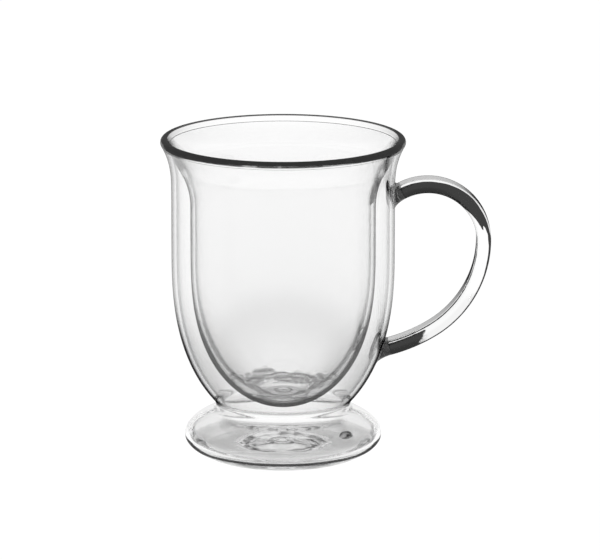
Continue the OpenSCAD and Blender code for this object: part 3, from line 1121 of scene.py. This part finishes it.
@dataclass
class Handle:
    """The strap handle and the welds at its two ends."""

    shape: MugShape
    works: GlassWorks
    width: float = 11.0
    thickness: float = 5.4
    round_share: float = 0.463
    reach_share: float = 0.404
    drop_share: float = 0.781
    crown_share: float = 0.582
    back_share: float = 1.12
    tail_share: float = 1.68
    back_turn: float = 58.0
    weld_l: float = 2.6
    weld_spread: float = 1.6

    @property
    def rounding(self) -> float:
        """Radius of the strap's edges."""
        return self.round_share * self.thickness

    @property
    def reach(self) -> float:
        """How far the handle reaches beyond the body."""
        return self.reach_share * self.shape.wall_h

    def arcs(self) -> list[tuple[Vector, float]]:
        """Works out the three arcs of the strap's middle line.

        Returns:
            The centres and radii of the crown, the back and the tail.
        """
        crown_r, back_r, tail_r = (share * self.reach for share in (self.crown_share, self.back_share, self.tail_share))
        widest = self.shape.lip_base - self.drop_share * self.reach
        crown = Vector((self.shape.body_r + self.reach - self.thickness / 2 - crown_r, widest))
        back = crown + Vector((crown_r - back_r, 0))
        tail = back + (back_r - tail_r) * turned_to(-self.back_turn)
        return [(crown, crown_r), (back, back_r), (tail, tail_r)]

    def meeting(self, centre: Vector, r: float, far: float, near: float) -> float:
        """Finds the turn at which an arc's middle line is one weld's length from the wall.

        Args:
            centre: The arc's centre.
            r: Its radius.
            far: A turn at which it is clear of the wall.
            near: A turn at which it is inside the wall.

        Returns:
            The turn in degrees.
        """
        for _ in range(30):
            mid = (far + near) / 2
            p = centre + r * turned_to(mid)
            clear = p.x - self.shape.body_r_at(p.y) - self.weld_l > 0
            far, near = (mid, near) if clear else (far, mid)
        return (far + near) / 2

    def stations(self) -> list[Station]:
        """Works out the strap's middle line.

        Returns:
            Its places, from the upper weld to the lower one.
        """
        (crown, crown_r), (back, back_r), (tail, tail_r) = self.arcs()
        top = self.meeting(crown, crown_r, 90, 170)
        low = self.meeting(tail, tail_r, -self.back_turn, -90)
        line = [Station(crown + crown_r * turned_to(a), a) for a in steps(top, 0, 84)]
        line += [Station(back + back_r * turned_to(a), a) for a in steps(0, -self.back_turn, 64)[1:]]
        line += [Station(tail + tail_r * turned_to(a), a) for a in steps(-self.back_turn, low, 24)[1:]]
        return line

    def section(self, thickness: float, width: float, rounding: float) -> Outline:
        """Draws the strap's section, a rectangle with rounded corners.

        Args:
            thickness: Its size from the inside to the outside of the handle.
            width: Its size across the mug's side.
            rounding: The radius of its corners.

        Returns:
            Its points, the first number outwards and the second across.
        """
        points = []
        inner = Vector((thickness / 2 - rounding, width / 2 - rounding))
        corners = [Vector((inner.x * a, inner.y * b)) for a, b in ((1, 1), (-1, 1), (-1, -1), (1, -1))]
        for i, corner in enumerate(corners):
            points += [corner + rounding * turned_to(a) for a in steps(90 * i, 90 * (i + 1), 10)]
            along = corners[(i + 1) % 4] - corner
            start = corner + rounding * turned_to(90 * (i + 1))
            points += [start + along * t for t in steps(0, 1, 8)[1:-1]]
        return points

    def ring(self, station: Station, section: Outline) -> list[Vector]:
        """Returns the points of a section at a station, in metres."""
        out = turned_to(station.turn)
        return [Vector((station.at.x + out.x * p.x, p.y, station.at.y + out.y * p.x)) * MM for p in section]

    def skin(self, rings: list[list[Vector]], bands: list[list[tuple[float, float]]] | None = None) -> Mesh:
        """Draws a closed skin through rings of points, each extruded from the one before.

        Args:
            rings: The rings, each with as many points.
            bands: For each point, how far it lies in the band of painted shade, and how freely light passes there.

        Returns:
            The mesh, whose two end faces are fused ones.
        """
        bm = bmesh.new()
        for name in (BAND, FREE):
            bm.verts.layers.float.new(name)
        count = len(rings[0])
        made = bmesh.ops.create_circle(bm, cap_ends=False, segments=count, radius=1.0)["verts"]
        for vert, place in zip(made, rings[0]):
            vert.co = place
        columns = [made]
        start_edges = list(bm.edges)
        edges, verts = start_edges, made
        for ring in rings[1:]:
            grown = bmesh.ops.extrude_edge_only(bm, edges=edges)["geom"]
            edges = [g for g in grown if isinstance(g, bmesh.types.BMEdge)]
            new = {g for g in grown if isinstance(g, bmesh.types.BMVert)}
            follow = []
            for vert in verts:
                follow.append(next(e.other_vert(vert) for e in vert.link_edges if e.other_vert(vert) in new))
            for vert, place in zip(follow, ring):
                vert.co = place
            verts = follow
            columns.append(verts)
        ends = bmesh.ops.contextual_create(bm, geom=start_edges)["faces"]
        ends += bmesh.ops.contextual_create(bm, geom=edges)["faces"]
        for face in ends:
            face.material_index = Face.FUSED.value
        for column, shades in zip(columns, bands or []):
            for vert, values in zip(column, shades):
                for layer, value in zip(bm.verts.layers.float.values(), values):
                    vert[layer] = value
        return bm

    def band(self, station: Station, section: Outline) -> list[tuple[float, float]]:
        """Finds where shade is painted on the strap: its sides over the crown, and a line along the inside and the
        back.

        Args:
            station: A place on the middle line.
            section: The section's points.

        Returns:
            For each point, how far it lies in the band of painted shade, and how freely light passes there.
        """
        along = station.turn
        side = self.width / 2 - self.rounding
        values = []
        for p in section:
            turn = math.degrees(math.atan2(p.x, max(abs(p.y) - side, 0.001)))
            crown = min(
                within(along, ramp(turn, SIDE_START), math.inf, fade=5),
                within(turn, -math.inf, ramp(along, SIDE_TOP), fade=12))
            tail = within(along, -math.inf, TAIL_TOP - TAIL_LEAN * turn, fade=8)
            tail *= within(turn, TAIL_INSIDE, math.inf, fade=12)
            inner = ramp(along, INNER_LINE) * within(turn, *INNER_AT, fade=12)
            back = ramp(along, BACK_LINE) * within(turn, *BACK_AT, fade=10)
            dark = max(ramp(along, SIDE_SHARE) * crown, tail, inner, back)
            values.append((dark, ramp(along, FREE_SHARE) * within(turn, FREE_FROM, math.inf, fade=20)))
        return values

    def strap(self) -> Piece:
        """Builds the strap, a rod drawn flat and bent while hot.

        Returns:
            The piece.
        """
        section = self.section(self.thickness, self.width, self.rounding)
        line = self.stations()
        bm = self.skin(
            [self.ring(station, section) for station in line], [self.band(station, section) for station in line])
        # A drawn rod is clear as water along its back; the dark where its sides throw the light out is painted shade.
        return self.works.piece(bm, "handle", "handle_glass", "drawn strap", Glass(
            edge=Edge(0.8, 2.4, 0.6, 0.8), low_edge=Edge(0.8, 2.4), shade=Shade(0.5, 0.68, 0.84, 0.98)))

    def to_wall(self, point: Vector, way: Vector) -> float:
        """Finds how far a point is from the wall.

        Args:
            point: A point outside the body, in millimetres.
            way: The direction towards the wall.

        Returns:
            The distance along that direction.
        """
        near, far = 0.0, 4 * self.weld_l
        for _ in range(30):
            mid = (near + far) / 2
            p = point + mid * way
            outside = math.hypot(p.x, p.y) > self.shape.body_r_at(p.z)
            near, far = (mid, far) if outside else (near, mid)
        return (near + far) / 2

    def weld_rings(self, station: Station, sign: int) -> list[list[Vector]]:
        """Draws the rings of a weld, from the strap's end to the wall.

        Args:
            station: The strap's end.
            sign: 1 at the upper end and -1 at the lower one.

        Returns:
            The rings, in metres.
        """
        out = turned_to(station.turn)
        way = Vector((-out.y * sign, 0, out.x * sign))
        rings = []
        for share in steps(0, 1, 16):
            spread = self.weld_spread * (1 - math.sqrt(1 - share ** 2))
            section = self.section(self.thickness + 2 * spread, self.width + 2 * spread, self.rounding + spread)
            ring = [p / MM for p in self.ring(station, section)]
            rings.append([(p + way * self.to_wall(p, way) * share) * MM for p in ring])
        return rings

    def root(self, rings: list[list[Vector]]) -> Patch:
        """Finds the patch of the wall that a weld stands on.

        Args:
            rings: The weld's rings, in metres.

        Returns:
            The patch.
        """
        last = [p / MM for p in rings[-1]]
        low = Vector(min(p[i] for p in last) for i in range(3))
        high = Vector(max(p[i] for p in last) for i in range(3))
        half = (high - low) / 2
        corner = self.rounding + self.weld_spread
        return Patch(tuple((low + high) / 2), (4 * self.weld_l, half.y, half.z), corner)

    def weld(self, node: str, rings: list[list[Vector]]) -> Piece:
        """Builds the weld that stands for a node from its rings."""
        # Melted glass is rippled at a weld; its near black tint is painted shade for the dark that the ripples give.
        return self.works.piece(self.skin(rings), node, "weld_glass", node.replace("_", " "), Glass(
            tint="303030", wave_mm=2.2, wave_depth_mm=0.12))


@dataclass
class Studio:
    """The floor, the light and the camera. The room is dark between two heights of the eye's way, in degrees."""

    lens_mm: float = 322.1
    distance_mm: float = 2000.0
    elevation: float = 13.35
    aim_mm: float = 60.0
    off_px: tuple[float, float] = (16.9, 15.24)
    floor_mm: float = 9000.0
    floor_drop_mm: float = 0.2
    painted_shadow_mm: tuple[float, float] = (31.0, 46.0)
    painted_shadow_strength: float = 0.97
    far_mm: tuple[float, float] = (650.0, 4000.0)
    far_strength: float = 0.95
    dark_from: float = 7.0
    dark_to: float = 40.0
    dark_strength: float = 0.01
    enter_fade: tuple[float, float] = (0.14, 0.14)
    leave_fade: tuple[float, float] = (0.3, 0.2)

    def floor(self) -> Piece:
        """Builds the pale floor, whose glow is a little dimmer under the mug, a painted shadow, and far away.

        Returns:
            The floor.
        """
        bm = bmesh.new()
        bmesh.ops.create_grid(bm, x_segments=1, y_segments=1, size=self.floor_mm * MM)
        bmesh.ops.translate(bm, verts=bm.verts, vec=(0, 0, -self.floor_drop_mm * MM))
        mesh = bpy.data.meshes.new("floor")
        bm.to_mesh(mesh)
        bm.free()
        material = bpy.data.materials.new("white paper sweep")
        nodes = Nodes(material)
        place = nodes.add("ShaderNodeTexCoord").outputs["Object"]
        away = nodes.add("ShaderNodeVectorMath", {0: place}, operation="LENGTH").outputs["Value"]
        strength = 1.0
        # The glow is dimmed under the mug, a painted shadow that shows through the glass, and far away.
        for (start, end), first, last in (
            (self.painted_shadow_mm, self.painted_shadow_strength, 1.0), (self.far_mm, 1.0, self.far_strength),
        ):
            part = nodes.add("ShaderNodeMapRange", {
                "Value": away, "From Min": start * MM, "From Max": end * MM, "To Min": first, "To Max": last,
            }, interpolation_type="SMOOTHSTEP")
            strength = nodes.add("ShaderNodeMath", {0: strength, 1: part}, operation="MULTIPLY")
        # Matt paper: it takes the mug's soft shadow, and glows so far that the camera sees it white.
        lit = nodes.add("ShaderNodeBsdfDiffuse", {"Color": linear("3A3A3A")})
        glow = nodes.add("ShaderNodeEmission", {"Color": linear("FFFFFF"), "Strength": nodes.pale_behind(strength)})
        both = nodes.add("ShaderNodeAddShader", {0: lit, 1: glow})
        nodes.add("ShaderNodeOutputMaterial", {"Surface": both})
        mesh.materials.append(material)
        floor = bpy.data.objects.new("floor", mesh)
        bpy.context.scene.collection.objects.link(floor)
        return floor

    def world(self) -> None:
        """Lights the scene from all round: a pale horizon, a dark room above it and a soft box overhead."""
        world = bpy.data.worlds.new("studio")
        nodes = Nodes(world)
        way = nodes.add("ShaderNodeTexCoord").outputs["Generated"]
        up = nodes.add("ShaderNodeSeparateXYZ", {0: way}).outputs[2]
        low, high = (math.sin(math.radians(a)) for a in (self.dark_from, self.dark_to))
        strength = 0.0
        for at, (before, after), first, last in (
            (low, self.enter_fade, 1.0, 0.0), (high, self.leave_fade, self.dark_strength, 1.0),
        ):
            part = nodes.add("ShaderNodeMapRange", {
                "Value": up, "From Min": at - before, "From Max": at + after, "To Min": first, "To Max": last,
            }, interpolation_type="SMOOTHSTEP")
            strength = nodes.add("ShaderNodeMath", {0: strength, 1: part}, operation="MAXIMUM")
        back = nodes.add("ShaderNodeBackground", {
            "Color": linear("FFFFFF"), "Strength": nodes.pale_behind(strength),
        })
        nodes.add("ShaderNodeOutputWorld", {"Surface": back})
        bpy.context.scene.world = world

    def camera(self) -> None:
        """Places the camera at the photograph's angle."""
        data = bpy.data.cameras.new("camera")
        data.lens = self.lens_mm
        data.sensor_width = 36.0
        data.shift_x, data.shift_y = (off / PICTURE_WIDTH for off in self.off_px)
        data.clip_end = 100.0
        camera = bpy.data.objects.new("camera", data)
        back = turned_to(self.elevation) * self.distance_mm * MM
        camera.location = (0, -back.x, self.aim_mm * MM + back.y)
        camera.rotation_euler = Euler((math.radians(90 - self.elevation), 0, 0))
        bpy.context.scene.collection.objects.link(camera)
        bpy.context.scene.camera = camera

    def settings(self) -> None:
        """Sets how light is followed and how colours are shown."""
        scene = bpy.context.scene
        scene.view_settings.view_transform = "Standard"
        scene.cycles.max_bounces = 40
        scene.cycles.transmission_bounces = 40
        scene.cycles.glossy_bounces = 16
        scene.cycles.transparent_max_bounces = 40


def main() -> None:
    """Builds the mug and its studio, and reports each piece."""
    logging.basicConfig(level=logging.INFO, format="%(name)s: %(message)s")
    shape = MugShape()
    works = GlassWorks()
    handle = Handle(shape, works)
    line = handle.stations()
    welds = {"upper_weld": handle.weld_rings(line[0], 1), "lower_weld": handle.weld_rings(line[-1], -1)}
    walls = Walls(shape, works, tuple(handle.root(rings) for rings in welds.values()))
    foot = Foot(shape, works)
    for build in (walls.body, walls.bowl, walls.lip, foot.waist, foot.dome, foot.plate, foot.seal, handle.strap):
        log.info("made %s", build().name)
    for node, rings in welds.items():
        log.info("made %s", handle.weld(node, rings).name)
    studio = Studio()
    studio.floor()
    studio.world()
    studio.camera()
    studio.settings()


if __name__ == "__main__":
    main()
